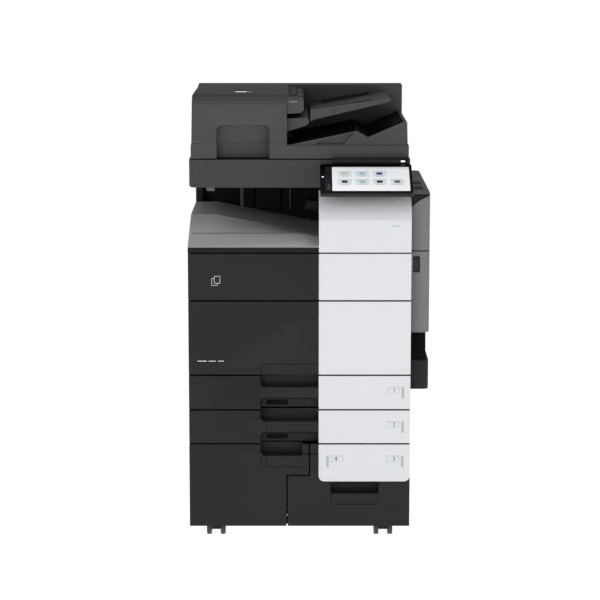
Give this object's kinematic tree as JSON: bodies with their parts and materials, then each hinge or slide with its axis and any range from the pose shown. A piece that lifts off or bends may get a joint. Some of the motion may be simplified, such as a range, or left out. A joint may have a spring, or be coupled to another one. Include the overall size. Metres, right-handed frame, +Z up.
{
  "type": "photocopier",
  "caption": "Floor-standing office copier with document feeder, flatbed scanner, in-body output tray, tilting touch panel, front doors and pull-out paper drawers on casters.",
  "frame": {"origin": "on the floor, under the middle of the bounding box", "axes": "+X to the machine's right seen from the front, +Y from the front to the back, +Z up"},
  "size_m": [0.6686, 0.7584, 1.243],
  "materials": {
    "black_plastic": "fine-grained moulded plastic, charcoal black",
    "feeder_plastic": "fine-grained moulded plastic, dark grey",
    "white_plastic": "smooth satin moulded plastic, cool white",
    "tray_grey": "fine-grained moulded plastic, mid grey",
    "side_grey": "fine-grained moulded plastic, grey",
    "bin_grey": "moulded plastic, blue grey",
    "frame_steel": "zinc-coated sheet steel",
    "panel_glass": "gloss black touch panel",
    "glass": "clear plate glass",
    "tyre": "hard dark grey tread",
    "toner_plastic": "moulded plastic, black",
    "drum": "coated drum, green"
  },
  "bodies": {
    "machine": {"base_plate": "frame_steel", "main_frame": "frame_steel", "left_cover": "black_plastic", "right_cover": "black_plastic", "rear_cover": "black_plastic", "inner_cover": "black_plastic", "laser_unit": "bin_grey", "fuser_unit": "bin_grey", "tray_lip": "tray_grey", "output_tray": "tray_grey", "well_back_wall": "black_plastic", "column_cover": "white_plastic", "column_housing": "black_plastic", "scanner_case": "feeder_plastic", "platen_glass": "glass", "panel_arm": "black_plastic", "exhaust_cover": "side_grey", "feeder_hinge_left": "frame_steel", "feeder_hinge_right": "frame_steel"},
    "toner": {"toner_bottle": "toner_plastic"},
    "photoconductor": {"photoconductor_drum": "drum"},
    "carriage": {"scan_carriage": "bin_grey"},
    "panel": {"panel_housing": "black_plastic", "panel_glass": "panel_glass"},
    "toner_lid": {"toner_door": "black_plastic", "toner_door_insert": "white_plastic"},
    "front_lid": {"front_door": "black_plastic", "front_door_insert": "white_plastic"},
    "drawer_1": {"tray_1_front": "black_plastic", "tray_1_insert": "white_plastic", "tray_1_bin": "bin_grey"},
    "lift_1": {"tray_1_lift_plate": "frame_steel"},
    "drawer_2": {"tray_2_front": "black_plastic", "tray_2_insert": "white_plastic", "tray_2_bin": "bin_grey"},
    "lift_2": {"tray_2_lift_plate": "frame_steel"},
    "drawer_3": {"tray_3_front": "black_plastic", "tray_3_insert": "white_plastic", "tray_3_bin": "bin_grey"},
    "lift_3": {"tray_3_lift_plate": "frame_steel"},
    "drawer_4": {"tray_4_front": "black_plastic", "tray_4_bin": "bin_grey"},
    "lift_4": {"tray_4_lift_plate": "frame_steel"},
    "side_door": {"right_door": "side_grey"},
    "bypass": {"bypass_tray": "side_grey"},
    "feeder": {"feeder_base": "feeder_plastic", "feeder_rear_housing": "feeder_plastic", "feeder_housing": "feeder_plastic"},
    "feed_lid": {"feed_cover": "feeder_plastic"},
    "document_rest": {"document_tray": "feeder_plastic"},
    "guide_front": {"document_guide_front": "black_plastic"},
    "guide_rear": {"document_guide_rear": "black_plastic"},
    "caster_front_left": {"caster_fork_front_left": "black_plastic"},
    "wheels_front_left": {"caster_wheels_front_left": "tyre"},
    "caster_front_right": {"caster_fork_front_right": "black_plastic"},
    "wheels_front_right": {"caster_wheels_front_right": "tyre"},
    "caster_rear_left": {"caster_fork_rear_left": "black_plastic"},
    "wheels_rear_left": {"caster_wheels_rear_left": "tyre"},
    "caster_rear_right": {"caster_fork_rear_right": "black_plastic"},
    "wheels_rear_right": {"caster_wheels_rear_right": "tyre"}
  },
  "joints": [
    {"name": "panel_tilt", "type": "hinge", "parent": "machine", "child": "panel", "pos_m": [0.15525, -0.23675, 1.045], "axis": [1, 0, 0], "range_deg": [-20, 18]},
    {"name": "toner_door_open", "type": "hinge", "parent": "machine", "child": "toner_lid", "pos_m": [-0.02675, -0.30875, 0.684], "axis": [1, 0, 0], "range_deg": [0, 90]},
    {"name": "front_door_open", "type": "hinge", "parent": "machine", "child": "front_lid", "pos_m": [-0.02675, -0.30875, 0.475], "axis": [1, 0, 0], "range_deg": [0, 90]},
    {"name": "toner_spin", "type": "hinge", "parent": "machine", "child": "toner", "pos_m": [-0.14675, -0.28275, 0.748], "axis": [0, 1, 0], "continuous": true},
    {"name": "drum_spin", "type": "hinge", "parent": "machine", "child": "photoconductor", "pos_m": [0.03925, -0.24875, 0.6], "axis": [0, 1, 0], "continuous": true},
    {"name": "scan_travel", "type": "slide", "parent": "machine", "child": "carriage", "axis": [1, 0, 0], "range_m": [0, 0.385]},
    {"name": "drawer_1_pull", "type": "slide", "parent": "machine", "child": "drawer_1", "axis": [0, -1, 0], "range_m": [0, 0.39]},
    {"name": "drawer_2_pull", "type": "slide", "parent": "machine", "child": "drawer_2", "axis": [0, -1, 0], "range_m": [0, 0.39]},
    {"name": "drawer_3_pull", "type": "slide", "parent": "machine", "child": "drawer_3", "axis": [0, -1, 0], "range_m": [0, 0.39]},
    {"name": "drawer_4_pull", "type": "slide", "parent": "machine", "child": "drawer_4", "axis": [0, -1, 0], "range_m": [0, 0.39]},
    {"name": "paper_lift_1", "type": "hinge", "parent": "drawer_1", "child": "lift_1", "pos_m": [-0.09675, -0.24875, 0.393], "axis": [0, -1, 0], "range_deg": [0, 8]},
    {"name": "paper_lift_2", "type": "hinge", "parent": "drawer_2", "child": "lift_2", "pos_m": [-0.09675, -0.24875, 0.296], "axis": [0, -1, 0], "range_deg": [0, 8]},
    {"name": "paper_lift_3", "type": "slide", "parent": "drawer_3", "child": "lift_3", "axis": [0, 0, 1], "range_m": [0, 0.15]},
    {"name": "paper_lift_4", "type": "slide", "parent": "drawer_4", "child": "lift_4", "axis": [0, 0, 1], "range_m": [0, 0.15]},
    {"name": "side_door_open", "type": "hinge", "parent": "machine", "child": "side_door", "pos_m": [0.32825, 0.33125, 0.586], "axis": [0, 0, 1], "range_deg": [0, 80]},
    {"name": "bypass_open", "type": "hinge", "parent": "side_door", "child": "bypass", "pos_m": [0.32925, -0.16875, 0.613], "axis": [0, 1, 0], "range_deg": [0, 70]},
    {"name": "feeder_open", "type": "hinge", "parent": "machine", "child": "feeder", "pos_m": [-0.02675, 0.32725, 1.079], "axis": [-1, 0, 0], "range_deg": [0, 60]},
    {"name": "feed_cover_open", "type": "hinge", "parent": "feeder", "child": "feed_lid", "pos_m": [-0.32475, -0.20875, 1.217], "axis": [0, -1, 0], "range_deg": [0, 75]},
    {"name": "document_tray_raise", "type": "hinge", "parent": "feeder", "child": "document_rest", "pos_m": [0.00325, -0.18275, 1.166], "axis": [0, -1, 0], "range_deg": [0, 22]},
    {"name": "guide_front_slide", "type": "slide", "parent": "document_rest", "child": "guide_front", "axis": [0, 1, 0], "range_m": [0, 0.115]},
    {"name": "guide_rear_slide", "type": "slide", "parent": "document_rest", "child": "guide_rear", "axis": [0, 1, 0], "range_m": [-0.115, 0]},
    {"name": "caster_swivel_front_left", "type": "hinge", "parent": "machine", "child": "caster_front_left", "pos_m": [-0.26275, -0.22075, 0.0654], "axis": [0, 0, 1], "continuous": true},
    {"name": "wheel_spin_front_left", "type": "hinge", "parent": "caster_front_left", "child": "wheels_front_left", "pos_m": [-0.26275, -0.23875, 0.025], "axis": [1, 0, 0], "continuous": true},
    {"name": "caster_swivel_front_right", "type": "hinge", "parent": "machine", "child": "caster_front_right", "pos_m": [0.20925, -0.22075, 0.0654], "axis": [0, 0, 1], "continuous": true},
    {"name": "wheel_spin_front_right", "type": "hinge", "parent": "caster_front_right", "child": "wheels_front_right", "pos_m": [0.20925, -0.23875, 0.025], "axis": [1, 0, 0], "continuous": true},
    {"name": "caster_swivel_rear_left", "type": "hinge", "parent": "machine", "child": "caster_rear_left", "pos_m": [-0.26275, 0.29125, 0.0654], "axis": [0, 0, 1], "continuous": true},
    {"name": "wheel_spin_rear_left", "type": "hinge", "parent": "caster_rear_left", "child": "wheels_rear_left", "pos_m": [-0.26275, 0.30925, 0.025], "axis": [1, 0, 0], "continuous": true},
    {"name": "caster_swivel_rear_right", "type": "hinge", "parent": "machine", "child": "caster_rear_right", "pos_m": [0.20925, 0.29125, 0.0654], "axis": [0, 0, 1], "continuous": true},
    {"name": "wheel_spin_rear_right", "type": "hinge", "parent": "caster_rear_right", "child": "wheels_rear_right", "pos_m": [0.20925, 0.30925, 0.025], "axis": [1, 0, 0], "continuous": true}
  ],
  "couplings": [
    {"joint": "guide_rear_slide", "follows": "guide_front_slide", "ratio": -1}
  ]
}
